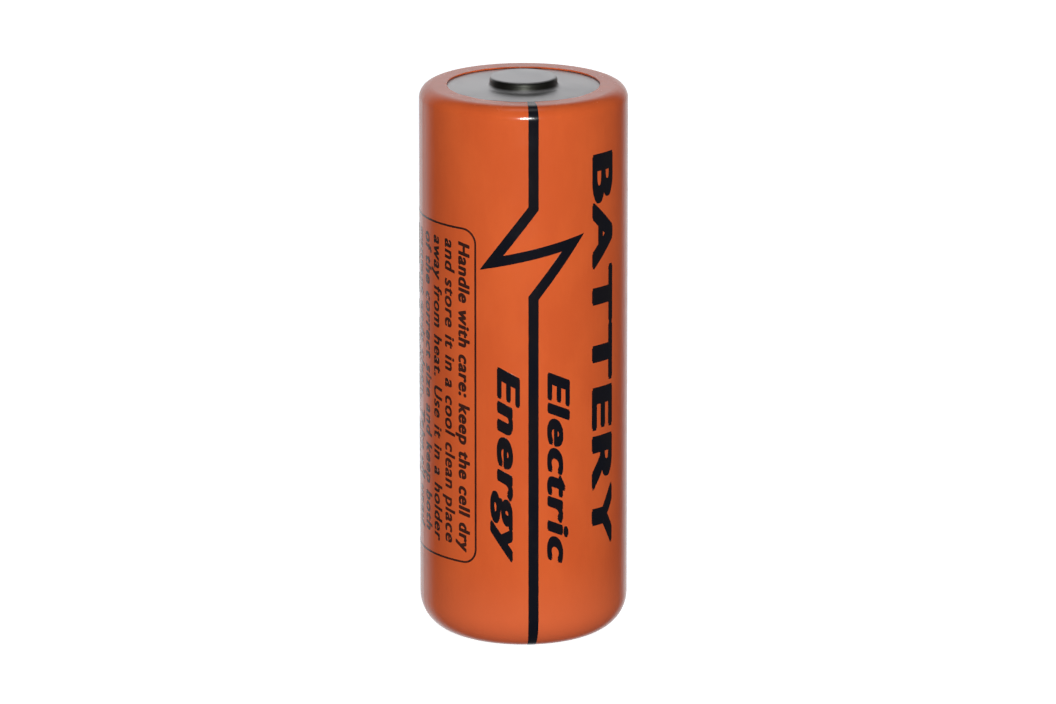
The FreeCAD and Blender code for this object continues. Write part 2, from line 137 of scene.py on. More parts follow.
def spun(bm, steps):
    """Spins a closed wire all the way round and closes it at the axis."""
    on_axis = [e for e in bm.edges if max(abs(v.co.x) for v in e.verts) < MM / 1e4]
    bmesh.ops.delete(bm, geom=on_axis, context="EDGES")
    bmesh.ops.spin(
        bm, geom=bm.verts[:] + bm.edges[:], cent=(0, 0, 0), axis=(0, 0, 1),
        angle=2 * math.pi, steps=steps, use_merge=True,
    )
    bmesh.ops.remove_doubles(bm, verts=bm.verts, dist=MM / 1e4)
    return bm


# %% Finish a mesh and hand it to the scene
SHARP = math.radians(32)


def face_outwards(bm):
    bmesh.ops.recalc_face_normals(bm, faces=bm.faces)
    if bm.calc_volume(signed=True) < 0:
        bmesh.ops.reverse_faces(bm, faces=bm.faces)


def finished(name, bm, replaced=()):
    """Makes the object: smooth faces, crisp sharp edges, riding on the cell's one body."""
    face_outwards(bm)
    for face in bm.faces:
        face.smooth = True
    for edge in bm.edges:
        edge.smooth = len(edge.link_faces) != 2 or edge.calc_face_angle(0) < SHARP
    open_edges = sum(1 for edge in bm.edges if not edge.is_manifold)
    mesh = bpy.data.meshes.new(name)
    bm.to_mesh(mesh)
    bm.free()
    piece = bpy.data.objects.new(name, mesh)
    bpy.context.scene.collection.objects.link(piece)
    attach(piece, "root")
    if replaced:
        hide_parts(*replaced)
    print(f"{name}: {len(mesh.polygons)} faces, {open_edges} open edges")
    return piece


# %% [markdown]
# ## The shrunk film
#
# The film starts as a printed tube, a little wider and longer than the cell. Hot air shrinks it
# until it grips the wall and turns in over both ends. Three things give shrunk film away: the
# turned-in lip puckers slightly, its cut edge wanders a little, and the tube keeps two faint
# creases from lying flat on its roll. `settled` moves any point of the perfect film to where it
# lies after shrinking. The printing uses the same function later, so ink and film stay together.

# %% Say how film settles
SHOULDER = 1.2 * MM
CORNER = 3.2 * MM
LAP_TOP = 1.3 * MM
LAP_BOTTOM = 0.8 * MM
LIP_START_R = CELL_R - SHOULDER - 0.2 * MM
HOLE_TOP_R = CELL_R - SHOULDER - LAP_TOP
HOLE_BOTTOM_R = CELL_R - CORNER - LAP_BOTTOM
LIP_WANDER = 0.11 * MM
LIP_PUCKER = 0.035 * MM
CREASE_ANGLES = [math.radians(-74), math.radians(106)]
CREASE_WIDTH = math.radians(1.7)
CREASE_RISE = 0.022 * MM


def around(angle, turns, seed):
    """Smooth noise that repeats exactly once round the cell."""
    return noise.noise(Vector((math.cos(angle) * turns, math.sin(angle) * turns, seed)))


def settled(point):
    """Where a point of the perfect film lies once the film has shrunk."""
    radius = math.hypot(point.x, point.y)
    angle = math.atan2(point.x, -point.y)
    height = point.z
    if height > RIM_Z / 2:
        share = min(max((LIP_START_R - radius) / (LIP_START_R - HOLE_TOP_R), 0), 1)
        height += LIP_PUCKER * share * around(angle, 5, 3.7)
        radius += LIP_WANDER * share * around(angle, 1.6, 8.1)
    else:
        share = min(max((CELL_R - CORNER - radius) / LAP_BOTTOM, 0), 1)
        radius += LIP_WANDER * share * around(angle, 1.9, 21.3)
    for crease in CREASE_ANGLES:
        away = math.remainder(angle - crease, 2 * math.pi) / CREASE_WIDTH
        on_wall = min(max((radius - CELL_R + SHOULDER) / SHOULDER, 0), 1)
        radius += CREASE_RISE * on_wall * math.exp(-away * away)
    return Vector((radius * math.sin(angle), -radius * math.cos(angle), height))


# %% [markdown]
# The film itself is one turned shell, an eight-cornered outline with its shoulder and its base
# corner rounded inside and out. Its long straight runs are subdivided before the spin, so that
# the crease and the settled lip have vertices to bend.

# %% Make the sleeve
def make_sleeve():
    edge = FILM / 5
    corners = [
        (HOLE_BOTTOM_R, 0),
        (CELL_R, 0),
        (CELL_R, RIM_Z),
        (HOLE_TOP_R, RIM_Z),
        (HOLE_TOP_R, RIM_Z - FILM),
        (CELL_R - FILM, RIM_Z - FILM),
        (CELL_R - FILM, FILM),
        (HOLE_BOTTOM_R, FILM),
    ]
    roundings = [
        (0, edge, 2), (1, CORNER, 14), (2, SHOULDER, 14), (3, edge, 3),
        (4, edge, 2), (5, SHOULDER - FILM, 14), (6, CORNER - FILM, 14), (7, edge, 2),
    ]
    bm = outline(corners, roundings)
    laps = [e for e in bm.edges if LAP_BOTTOM / 2 < e.calc_length() < LAP_TOP * 1.2]
    bmesh.ops.subdivide_edges(bm, edges=laps, cuts=7)
    walls = [e for e in bm.edges if e.calc_length() > RIM_Z / 2]
    bmesh.ops.subdivide_edges(bm, edges=walls, cuts=15)
    spun(bm, steps=240)
    for vert in bm.verts:
        vert.co = settled(vert.co)
    return finished("sleeve_skin", bm, ["shrink_sleeve"])


sleeve = make_sleeve()

# %% [markdown]
# ## The positive cap
#
# The cap is a pressed hat of nickel-plated sheet: a flat flange, then a short steep step up to
# the round contact nub. Its bends are what catch the light, so they get many segments, and the
# rim of the flange has the small rounding that punching leaves.

# %% Make the cap
NUB_R = 3.0 * MM
SHEET = 0.3 * MM
NUB_EDGE = 0.32 * MM
NUB_ROOT = 0.4 * MM


def make_cap():
    flange_low = cap_low.z
    flange_top = flange_low + SHEET
    nub_top = cap_high.z
    inside_top = nub_top - SHEET
    corners = [
        (0, inside_top),
        (NUB_R - SHEET, inside_top),
        (NUB_R - SHEET, flange_low),
        (CAP_R, flange_low),
        (CAP_R, flange_top),
        (NUB_R, flange_top),
        (NUB_R, nub_top),
        (0, nub_top),
    ]
    punched = SHEET / 5
    roundings = [
        (1, NUB_EDGE / 2, 6), (2, NUB_ROOT, 8), (3, punched, 2), (4, punched, 3),
        (5, NUB_ROOT, 10), (6, NUB_EDGE, 10),
    ]
    bm = outline(corners, roundings)
    return finished("cap_hat", spun(bm, steps=192), ["positive_cap"])


cap = make_cap()

# %% [markdown]
# ## The printing
#
# Printing on a round sleeve is easiest drawn flat. Here `u` runs round the cell to the right,
# `v` up the film and `w` out of it. A flat shape is given the thickness of ink, cut into narrow
# strips so that it can bend, and wrapped. Past the straight wall, `v` follows the shoulder and
# the base corner, because the stripe runs on over both. A mesh skin is used rather than a
# picture, so that the letters keep sharp edges at any distance.

# %% Wrap flat shapes on the film
INK_RISE = 0.014 * MM
INK_DEPTH = 0.03 * MM
STRIP = 0.3 * MM
WALL_FOOT = CORNER
WALL_TOP = RIM_Z - SHOULDER
ARC_TOP = SHOULDER * math.pi / 2
ARC_FOOT = CORNER * math.pi / 2


def at_angle(degrees):
    """The u of an angle round the cell, counted to the right of the front."""
    return math.radians(degrees) * CELL_R


def on_film(u, v, w):
    """The point of the perfect film at u, v and w above its surface."""
    radius, height = CELL_R + w, v
    if v > WALL_TOP:
        turn = min((v - WALL_TOP) / SHOULDER, math.pi / 2)
        run = max(v - WALL_TOP - ARC_TOP, 0)
        radius = CELL_R - SHOULDER + (SHOULDER + w) * math.cos(turn) - run
        height = WALL_TOP + (SHOULDER + w) * math.sin(turn)
    elif v < WALL_FOOT:
        turn = min((WALL_FOOT - v) / CORNER, math.pi / 2)
        run = max(WALL_FOOT - v - ARC_FOOT, 0)
        radius = CELL_R - CORNER + (CORNER + w) * math.cos(turn) - run
        height = WALL_FOOT - (CORNER + w) * math.sin(turn)
    angle = u / CELL_R
    return Vector((radius * math.sin(angle), -radius * math.cos(angle), height))


def cut_in_strips(bm, axis, step):
    """Cuts a flat solid across one axis at every step, so that it can follow a curve."""
    normal = Vector([1.0 if i == axis else 0.0 for i in range(3)])
    values = [v.co[axis] for v in bm.verts]
    for index in range(math.ceil(min(values) / step), math.floor(max(values) / step) + 1):
        bmesh.ops.bisect_plane(
            bm, geom=bm.verts[:] + bm.edges[:] + bm.faces[:], dist=MM / 1e5,
            plane_co=normal * (index * step), plane_no=normal,
        )


def thickened(bm, doubles=MM / 2e3):
    """Gives a flat shape in the u, v plane the thickness of ink."""
    bmesh.ops.remove_doubles(bm, verts=bm.verts, dist=doubles)
    geometry = bmesh.ops.extrude_face_region(bm, geom=bm.faces[:])["geom"]
    tops = [item for item in geometry if isinstance(item, bmesh.types.BMVert)]
    bmesh.ops.translate(bm, verts=tops, vec=(0, 0, INK_RISE + INK_DEPTH))
    bmesh.ops.translate(bm, verts=bm.verts, vec=(0, 0, -INK_DEPTH))
    return bm


def printed(name, bm, follows_ends=False):
    """Wraps a flat solid of ink on the film."""
    cut_in_strips(bm, 0, STRIP)
    if follows_ends:
        cut_in_strips(bm, 1, STRIP / 2)
    for vert in bm.verts:
        vert.co = settled(on_film(*vert.co))
    return finished(name, bm)


# %% [markdown]
# The broad stripe runs the whole height and breaks into a bolt-shaped jog near the top. Its
# path is a wire of six points. Extruded by the ink's thickness and given the stripe's width by
# a Solidify modifier with even thickness, the wire gets clean mitred corners.

# %% Print the stripe
STRIPE_WIDTH = 0.9 * MM
STRIPE_ANGLE = 5.5
STRIPE_TOP = WALL_TOP + ARC_TOP + LAP_TOP * 0.96
STRIPE_FOOT = WALL_FOOT - ARC_FOOT - LAP_BOTTOM * 0.9
BOLT = [  # angle in degrees, height in millimetres
    (STRIPE_ANGLE, 40.7),
    (-17.8, 35.7),
    (28.2, 37.4),
    (STRIPE_ANGLE, 32.6),
]


def solidified(bm, width):
    """Gives a standing ribbon an even width with a Solidify modifier."""
    mesh = bpy.data.meshes.new("ribbon")
    bm.to_mesh(mesh)
    bm.free()
    ribbon = bpy.data.objects.new("ribbon", mesh)
    bpy.context.scene.collection.objects.link(ribbon)
    wall = ribbon.modifiers.new("width", "SOLIDIFY")
    wall.thickness = width
    wall.offset = 0
    wall.use_even_offset = True
    wall.use_quality_normals = True
    bpy.context.view_layer.update()
    shaped = ribbon.evaluated_get(bpy.context.evaluated_depsgraph_get())
    solid = bmesh.new()
    solid.from_mesh(shaped.to_mesh())
    shaped.to_mesh_clear()
    bpy.data.objects.remove(ribbon)
    return solid


def raised(bm):
    """Raises a flat wire by the ink's thickness."""
    walls = bmesh.ops.extrude_edge_only(bm, edges=bm.edges[:])["geom"]
    tops = [item for item in walls if isinstance(item, bmesh.types.BMVert)]
    bmesh.ops.translate(bm, verts=tops, vec=(0, 0, INK_RISE + INK_DEPTH))
    return bm


def standing_ribbon(points, corner=None):
    """A raised wire through (u, v) points; with a corner radius, a closed loop."""
    bm = bmesh.new()
    verts = [bm.verts.new((u, v, -INK_DEPTH)) for u, v in points]
    for a, b in zip(verts, verts[1:]):
        bm.edges.new((a, b))
    if corner:
        bm.edges.new((verts[-1], verts[0]))
        bmesh.ops.bevel(
            bm, geom=verts, offset=corner, offset_type="OFFSET", affect="VERTICES",
            segments=8, profile=0.5, material=-1,
        )
    return raised(bm)


path = [(at_angle(STRIPE_ANGLE), STRIPE_TOP)]
path += [(at_angle(angle), height * MM) for angle, height in BOLT]
path += [(at_angle(STRIPE_ANGLE), STRIPE_FOOT)]
printed("print_stripe", solidified(standing_ribbon(path), STRIPE_WIDTH), follows_ends=True)

# %% [markdown]
# The words read downwards, with the tops of their letters to the right. They are generic words
# in Blender's own font, slanted with the shear setting and stretched to the length that the
# printing has. The font is light and the printing is heavy. Growing the outlines far enough
# would close the loops of letters such as e, so each word is united with shifted copies of
# itself instead, which thickens every stroke and keeps the loops.

# %% Print the words
HEAVY_FROM = 0.06
EVEN_SHARES = [(0.44, 0.0), (0.0, 0.44), (0.28, 0.28), (0.28, -0.28)]
FINE_SHARES = [(1.0, 0.0), (0.0, 1.0)]


def united(solid, shift):
    """Unites a solid with a copy of itself that is shifted to either side."""
    parts = []
    for side in (-0.5, 0.5):
        copy = solid.copy()
        bmesh.ops.translate(copy, verts=copy.verts, vec=Vector(shift) * side)
        mesh = bpy.data.meshes.new("copy")
        copy.to_mesh(mesh)
        copy.free()
        parts.append(bpy.data.objects.new("copy", mesh))
        bpy.context.scene.collection.objects.link(parts[-1])
    both = parts[0].modifiers.new("both", "BOOLEAN")
    both.operation = "UNION"
    both.solver = "MANIFOLD"
    both.object = parts[1]
    bpy.context.view_layer.update()
    shaped = parts[0].evaluated_get(bpy.context.evaluated_depsgraph_get())
    result = bmesh.new()
    result.from_mesh(shaped.to_mesh())
    shaped.to_mesh_clear()
    for part in parts:
        bpy.data.objects.remove(part)
    solid.free()
    return result


def letters(text, slant):
    """The flat outline of a word as a mesh, in the font's own units."""
    curve = bpy.data.curves.new("letters", "FONT")
    curve.body = text
    curve.resolution_u = 8
    curve.shear = slant
    curve.space_character = 1.12
    word_object = bpy.data.objects.new("letters", curve)
    bpy.context.scene.collection.objects.link(word_object)
    bpy.context.view_layer.update()
    bm = bmesh.new()
    bm.from_mesh(bpy.data.meshes.new_from_object(word_object))
    bpy.data.objects.remove(word_object)
    return bm


def word(name, text, cap_height, length, base_angle, start, heavier, slant=0.0):
    """Prints a word that runs down the cell; heavier is the growth of its strokes, in ems."""
    bm = thickened(letters(text, slant), doubles=1e-4)
    across, up = heavier
    shares = EVEN_SHARES if across > HEAVY_FROM else FINE_SHARES
    for share_across, share_up in shares:
        bm = united(bm, (across * share_across, up * share_up, 0))
    left = min(v.co.x for v in bm.verts)
    wide = max(v.co.x for v in bm.verts) - left
    bmesh.ops.translate(bm, verts=bm.verts, vec=(-left, up / 2, 0))
    tall = max(v.co.y for v in bm.verts)
    bmesh.ops.scale(bm, verts=bm.verts, vec=(length / wide, cap_height / tall, 1))
    downwards = Matrix.Rotation(-math.pi / 2, 3, "Z")
    bmesh.ops.rotate(bm, verts=bm.verts, cent=(0, 0, 0), matrix=downwards)
    bmesh.ops.translate(bm, verts=bm.verts, vec=(at_angle(base_angle), start, 0))
    return printed(name, bm)


word("print_large_word", "BATTERY", 2.75 * MM, 35.9 * MM, 40.8, 45.0 * MM, (0.10, 0.08))
word("print_upper_word", "Electric", 2.1 * MM, 17.6 * MM, 13.2, 25.8 * MM, (0.10, 0.065), 0.25)
word("print_lower_word", "Energy", 2.05 * MM, 17.9 * MM, -14.6, 26.3 * MM, (0.10, 0.065), 0.25)

# %% [markdown]
# To the left of the words stands a thin rounded frame with six rows of general advice in fine
# print, the first one a little bolder. The rows use the same `word` function.

# %% Print the frame and the fine print
FRAME_RIGHT, FRAME_LEFT = -27.2, -102.0
FRAME_FOOT, FRAME_TOP = 8.0 * MM, 38.5 * MM
FRAME_LINE = 0.18 * MM
FRAME_CORNER = 1.3 * MM
FIRST_ROW = (0.09, 0.06)
OTHER_ROWS = (0.055, 0.035)


def flat_bar(bm, u, v, width, height):
    """Adds one flat rectangle, centred at u, v."""
    place = Matrix.Translation((u, v, 0)) @ Matrix.Diagonal((width / 2, height / 2, 1, 1))
    bmesh.ops.create_grid(bm, x_segments=1, y_segments=1, size=1, matrix=place)


def make_frame():
    left, right = at_angle(FRAME_LEFT), at_angle(FRAME_RIGHT)
    corners = [(left, FRAME_FOOT), (right, FRAME_FOOT), (right, FRAME_TOP), (left, FRAME_TOP)]
    loop = standing_ribbon(corners, corner=FRAME_CORNER)
    return printed("fine_frame", solidified(loop, FRAME_LINE))


make_frame()


ADVICE = [  # text, angle of its base line in degrees, length in millimetres
    ("Handle with care: keep the cell dry", -38.2, 28.4),
    ("and store it in a cool clean place", -48.3, 27.8),
    ("away from heat. Use it in a holder", -58.5, 28.0),
    ("of the correct size and keep both", -68.7, 27.4),
    ("contact ends clean. Take all used", -78.9, 27.4),
    ("cells to a collection point.", -89.1, 23.0),
]
for row, (text, base_angle, length) in enumerate(ADVICE):
    heavier = FIRST_ROW if row == 0 else OTHER_ROWS
    name = f"fine_advice_{row + 1}"
    word(name, text, 1.2 * MM, length * MM, base_angle, FRAME_TOP - 1.2 * MM, heavier, 0.2)

# %% [markdown]
# The back of the sleeve carries only what any cell needs: a plus near the cap and a minus near
# the base, each in a ring, and two rows of fine print between them.

# %% Print the back
MARK_SPAN = 6.4 * MM
MARK_BAR = 0.8 * MM
MARK_LINE = 0.35 * MM
BACK_ANGLE = 178.0


def ring_mark(name, v, strokes):
    """A ring with a plus or a minus in it; strokes are the widths and heights of its bars."""
    centre = at_angle(BACK_ANGLE)
    circle = bmesh.new()
    place = Matrix.Translation((centre, v, -INK_DEPTH))
    bmesh.ops.create_circle(circle, segments=72, radius=MARK_SPAN / 2, matrix=place)
    bm = solidified(raised(circle), MARK_LINE)
    bars = bmesh.new()
    for width, height in strokes:
        flat_bar(bars, centre, v, width, height)
    mesh = bpy.data.meshes.new("bars")
    thickened(bars).to_mesh(mesh)
    bars.free()
    bm.from_mesh(mesh)
    return printed(name, bm)


BAR_LENGTH = MARK_SPAN * 0.6
ring_mark("print_minus", 8.4 * MM, [(BAR_LENGTH, MARK_BAR)])
ring_mark("print_plus", 42.6 * MM, [(BAR_LENGTH, MARK_BAR), (MARK_BAR, BAR_LENGTH)])

NOTICE = [  # text, angle of its base line in degrees, length in millimetres
    ("Primary lithium cell", 182.0, 20.0),
    ("Do not charge or open", 171.8, 20.6),
]
for row, (text, base_angle, length) in enumerate(NOTICE):
    name = f"fine_notice_{row + 1}"
    word(name, text, 1.4 * MM, length * MM, base_angle, 36.0 * MM, (0.05, 0.04))

# %% [markdown]
# ## Writing shader maths as expressions
#
# A procedural finish is mostly arithmetic on a few patterns. `Value` wraps one socket, and its
# operators add the Math nodes that an expression needs, so `1 - mask` works as it reads.
# `Finish` is one material. Its `add` method makes any other node: the settings are set first,
# then the sockets get their values or links.

# %% Wrap sockets and materials
class Value:
    """One socket of a material's node tree, with arithmetic."""

    def __init__(self, finish, socket):
        self.finish = finish
        self.socket = socket

    def math(self, operation, *others):
        values = {index + 1: other for index, other in enumerate(others)}
        return self.finish.add("ShaderNodeMath", {"operation": operation}, {0: self, **values})

    def __add__(self, other):
        return self.math("ADD", other)

    def __mul__(self, other):
        return self.math("MULTIPLY", other)

    def __sub__(self, other):
        return self.math("SUBTRACT", other)

    def __rsub__(self, other):
        return self.finish.add("ShaderNodeMath", {"operation": "SUBTRACT"}, {0: other, 1: self})

    __radd__ = __add__
    __rmul__ = __mul__

    def between(self, low, high):
        """0 below low, 1 above high, and a smooth step from one to the other."""
        settings = {"interpolation_type": "SMOOTHSTEP"}
        return self.finish.add("ShaderNodeMapRange", settings, {0: self, 1: low, 2: high})


class Finish:
    """A material with a Principled shader, built node by node."""

    def __init__(self, name, **constants):
        self.material = bpy.data.materials.new(name)
        self.material.use_nodes = True
        self.tree = self.material.node_tree
        self.tree.nodes.clear()
        named = {key.replace("_", " ").title(): value for key, value in constants.items()}
        named = {("IOR" if key == "Ior" else key): value for key, value in named.items()}
        shader = self.add("ShaderNodeBsdfPrincipled", {}, named)
        self.shader = shader.socket.node
        self.end = self.tree.nodes.new("ShaderNodeOutputMaterial")
        self.show(shader)
        coordinates = self.tree.nodes.new("ShaderNodeTexCoord")
        self.place = Value(self, coordinates.outputs["Object"])

    def add(self, kind, settings=None, sockets=None, output=0):
        """Adds a node, sets its settings, then gives its sockets values or links."""
        node = self.tree.nodes.new(kind)
        for key, setting in (settings or {}).items():
            setattr(node, key, setting)
        for key, given in (sockets or {}).items():
            self.give(node.inputs[key], given)
        return Value(self, node.outputs[output]) if node.outputs else None

    def give(self, socket, given):
        if isinstance(given, Value):
            self.tree.links.new(given.socket, socket)
        else:
            socket.default_value = given

    def set(self, name, given):
        self.give(self.shader.inputs[name], given)

    def show(self, shader):
        """Makes a shader the one that is seen."""
        self.give(self.end.inputs["Surface"], shader)

    def stretched(self, x, y, z):
        """The place on the piece, in metres, times a number along each axis."""
        return self.add("ShaderNodeMapping", {}, {"Vector": self.place, "Scale": (x, y, z)})

    def noise(self, vector, scale, detail=3.0, roughness=0.55):
        sockets = {"Vector": vector, "Scale": scale, "Detail": detail, "Roughness": roughness}
        return self.add("ShaderNodeTexNoise", {}, sockets)

    def axis_radius(self):
        """How far a point is from the cell's axis, in millimetres."""
        flat = self.stretched(1 / MM, 1 / MM, 0)
        return self.add("ShaderNodeVectorMath", {"operation": "LENGTH"}, {0: flat}, output=1)

    def height(self):
        """The height above the base, in millimetres."""
        return self.add("ShaderNodeSeparateXYZ", {}, {0: self.place}, output=2) * (1 / MM)

    def mixed(self, mask, low, high):
        """A colour between two others, by a mask."""
        settings = {"data_type": "RGBA"}
        ends = [end if isinstance(end, Value) else (*end, 1) for end in (low, high)]
        sockets = {0: mask, 6: ends[0], 7: ends[1]}
        return self.add("ShaderNodeMix", settings, sockets, output=2)

    def bump(self, height, depth):
        """Raises the surface by height, from 0 to 1, times a depth in millimetres."""
        sockets = {"Strength": 1.0, "Distance": depth * MM, "Height": height}
        self.set("Normal", self.add("ShaderNodeBump", {}, sockets))


# %% [markdown]
# ## Film and ink
#
# Shrunk film is glossy, but not like glass: it keeps a faint orange-peel, drawn out along the
# cell, and its colour clouds slightly. It is made a little duller on the shoulder. Its colour is
# painted paler towards the foot: painted light that brightens the lower wall. The ink lies on
# the same film, so `film_surface` gives it the same ripples and roughness, with colours and a
# refraction of its own. The fine print is a little browner than the words and the stripe.

# %% Make film and ink
FILM_ORANGE = (0.81, 0.137, 0.031)
FILM_DEEP = (0.755, 0.120, 0.027)
# The film's colour at the foot: painted light, paler than the rest of the wall.
FILM_FOOT_PAINTED_LIGHT = (0.84, 0.160, 0.052)
INK_NAVY = (0.0035, 0.0045, 0.010)
INK_BROWN = (0.007, 0.006, 0.009)
FINE_INK = (0.030, 0.011, 0.008)
FINE_FAINT = (0.055, 0.016, 0.010)
# The heights over which the painted light at the foot fades out.
FOOT_LIGHT_FADES = (1, 9)  # heights in millimetres
SHOULDER_DULLS = (48.7, 49.6)


def film_surface(finish, low, high, foot):
    """The ripples, clouds and gloss that film and ink share, and the painted light at the foot."""
    clouds = finish.noise(finish.stretched(1, 1, 0.45), 260, 4)
    fine = finish.noise(finish.stretched(1, 1, 0.2), 2600, 2)
    tone = finish.mixed(clouds.between(0.35, 0.7), low, high)
    # Painted light: towards the foot the colour is mixed towards the paler foot colour.
    painted_foot_light = 1 - finish.height().between(*FOOT_LIGHT_FADES)
    finish.set("Base Color", finish.mixed(painted_foot_light, tone, foot))
    shoulder = finish.height().between(*SHOULDER_DULLS)
    wear = finish.noise(finish.stretched(1, 1, 1), 900, 5, 0.7).between(0.45, 0.75)
    finish.set("Roughness", 0.17 + shoulder * 0.05 + wear * 0.07)
    finish.bump((clouds * 0.6 + fine * 0.4) * (1 - shoulder * 0.75), 0.025)
    return finish.material


film = film_surface(Finish("film_orange", ior=1.53), FILM_DEEP, FILM_ORANGE, FILM_FOOT_PAINTED_LIGHT)
ink = film_surface(Finish("film_ink", ior=1.5), INK_BROWN, INK_NAVY, INK_NAVY)
fine_ink = film_surface(Finish("film_fine_ink", ior=1.5), FINE_INK, FINE_FAINT, FINE_INK)
sleeve.data.materials.append(film)
for start, material in (("print_", ink), ("fine_", fine_ink)):
    pieces = [o for o in bpy.data.objects if o.name.startswith(start)]
    for piece in pieces:
        piece.data.materials.append(material)
    print(f"{len(pieces)} pieces are printed in {material.name}")

# %% [markdown]
# ## Metals
#
# Every metal part of the cell was turned, drawn or rolled, and each of these leaves its own
# marks. Turned and pressed rounds have fine rings, which are a pattern of the distance from the
# axis alone. Drawn walls have lines along the cell. A metal gets its depth from roughness that
# varies, so the rings feed roughness and a very shallow bump, and hardly any colour. The wall
# of the cap's nub is painted almost black, most strongly towards the front. This is a painted
# reflection of the dark room in front of the cell, and it sets the wall off from the flange.

# %% A metal with rings and drawn lines
# The colour of the painted dark reflection on the nub's wall.
NUB_PAINTED_DARK = (0.04, 0.042, 0.036)


def painted_nub_reflection(finish):
    """A mask for the painted dark reflection on the nub's wall, strongest towards the front."""
    radius, height = finish.axis_radius(), finish.height()
    flange, top = (cap_low.z + SHEET) / MM, cap_high.z / MM
    front = finish.add("ShaderNodeSeparateXYZ", {}, {0: finish.place}, output=1) * (-1 / MM)
    wall = radius.between(2.7, 2.92) * (1 - radius.between(3.1, 3.3))
    band = height.between(flange + 0.04, flange + 0.3) * (1 - height.between(top - 0.14, top))
    return wall * band * (0.25 + front.between(-1.5, 2.4) * 0.75)


def metal(name, colour, shade, smooth, dull, rings, lines, painted_reflection=None):
    """A plated or bare metal; rings and lines are the depths of its marks in millimetres."""
    finish = Finish(name, metallic=1.0)
    radius = finish.axis_radius()
    fine = finish.add(
        "ShaderNodeTexNoise", {"noise_dimensions": "1D"},
        {"W": radius * 9.0, "Scale": 1.0, "Detail": 4.0, "Roughness": 0.7},
    )
    drawn = finish.noise(finish.stretched(1, 1, 0.02), 3200, 3)
    smudge = finish.noise(finish.stretched(1, 1, 1), 330, 4, 0.6).between(0.38, 0.72)
    tone = finish.mixed(smudge * 0.6 + fine * 0.4, shade, colour)
    # The nub's wall gets a painted dark reflection, mixed into its base colour.
    if painted_reflection:
        tone = finish.mixed(painted_reflection(finish), tone, NUB_PAINTED_DARK)
    finish.set("Base Color", tone)
    finish.set("Roughness", smooth + (dull - smooth) * (smudge * 0.6 + fine * 0.4))
    total = rings + lines
    finish.bump(fine * (rings / total) + drawn * (lines / total), total)
    return finish.material


# The cap's nickel carries the painted dark reflection on its nub wall.
nickel = metal(
    "plated_cap", (0.63, 0.63, 0.64), (0.56, 0.555, 0.555), 0.42, 0.56, 0.0016, 0.0002, painted_nub_reflection
)
cap.data.materials.append(nickel)
can_metal = metal("plated_can", (0.64, 0.64, 0.65), (0.5, 0.5, 0.5), 0.22, 0.42, 0.003, 0.003)
lid_metal = metal("pressed_lid", (0.6, 0.6, 0.62), (0.5, 0.5, 0.51), 0.2, 0.38, 0.002, 0.001)
tube_metal = metal("drawn_tube", (0.58, 0.58, 0.59), (0.46, 0.46, 0.46), 0.16, 0.3, 0.001, 0.003)
ball_metal = metal("ground_ball", (0.7, 0.7, 0.71), (0.62, 0.62, 0.63), 0.04, 0.1, 0.0003, 0.0001)
plug_metal = metal("stamped_plug", (0.62, 0.62, 0.63), (0.5, 0.5, 0.5), 0.25, 0.4, 0.002, 0.0005)
mesh_metal = metal("mesh_nickel", (0.56, 0.55, 0.52), (0.42, 0.41, 0.39), 0.3, 0.5, 0.001, 0.004)
tab_metal = metal("tab_strip", (0.62, 0.61, 0.59), (0.5, 0.49, 0.47), 0.22, 0.36, 0.0005, 0.004)


# %% [markdown]
# ## The inside
#
# Nobody sees the inside until the cell is cut open, but a part that will be shown cut or
# exploded needs it finished. The materials differ in grain: lithium foil is soft and dull where
# it has met air, glass-fibre paper is a felt of pale threads, the carbon core is a crumbly
# black, the fibre washer is brown and fibrous, and the plastics are moulded smooth.

# %% A material with a grain
def grained(name, low, high, scale, stretch, smooth, dull, depth, **constants):
    """A non-metal whose colour, roughness and relief follow one grain."""
    finish = Finish(name, **constants)
    vector = finish.stretched(*stretch)
    grain = finish.noise(vector, scale, 6, 0.65)
    coarse = finish.noise(vector, scale / 6, 3, 0.5)
    blend = (grain * 0.6 + coarse * 0.4).between(0.3, 0.7)
    finish.set("Base Color", finish.mixed(blend, low, high))
    finish.set("Roughness", smooth + (dull - smooth) * blend)
    finish.bump(grain, depth)
    return finish.material


paper = grained(
    "glass_fibre_paper", (0.70, 0.70, 0.67), (0.86, 0.86, 0.84), 4200, (1, 1, 0.35), 0.7, 0.95, 0.05
)
board = grained(
    "fibre_board", (0.34, 0.23, 0.13), (0.56, 0.42, 0.27), 2600, (1, 0.3, 1), 0.7, 0.9, 0.03
)
carbon = grained(
    "porous_carbon", (0.006, 0.006, 0.007), (0.03, 0.03, 0.032), 3800, (1, 1, 1), 0.75, 0.98, 0.08
)
lithium = grained(
    "lithium_foil", (0.45, 0.44, 0.42), (0.70, 0.69, 0.67), 700, (1, 1, 0.1), 0.35, 0.6, 0.02,
    metallic=1.0,
)
moulded = grained(
    "moulded_spacer", (0.72, 0.71, 0.67), (0.80, 0.79, 0.75), 1500, (1, 1, 1), 0.4, 0.55, 0.008
)
insulator = grained(
    "punched_insulator", (0.80, 0.80, 0.77), (0.87, 0.87, 0.85), 1300, (1, 1, 1), 0.35, 0.5, 0.006
)
seal_glass = grained(
    "fused_glass", (0.16, 0.26, 0.22), (0.24, 0.37, 0.32), 900, (1, 1, 1), 0.04, 0.12, 0.004,
    transmission_weight=0.55, ior=1.52,
)
liquid = grained(
    "electrolyte", (0.72, 0.60, 0.30), (0.82, 0.72, 0.42), 500, (1, 1, 1), 0.02, 0.06, 0.002,
    transmission_weight=0.85, ior=1.4,
)

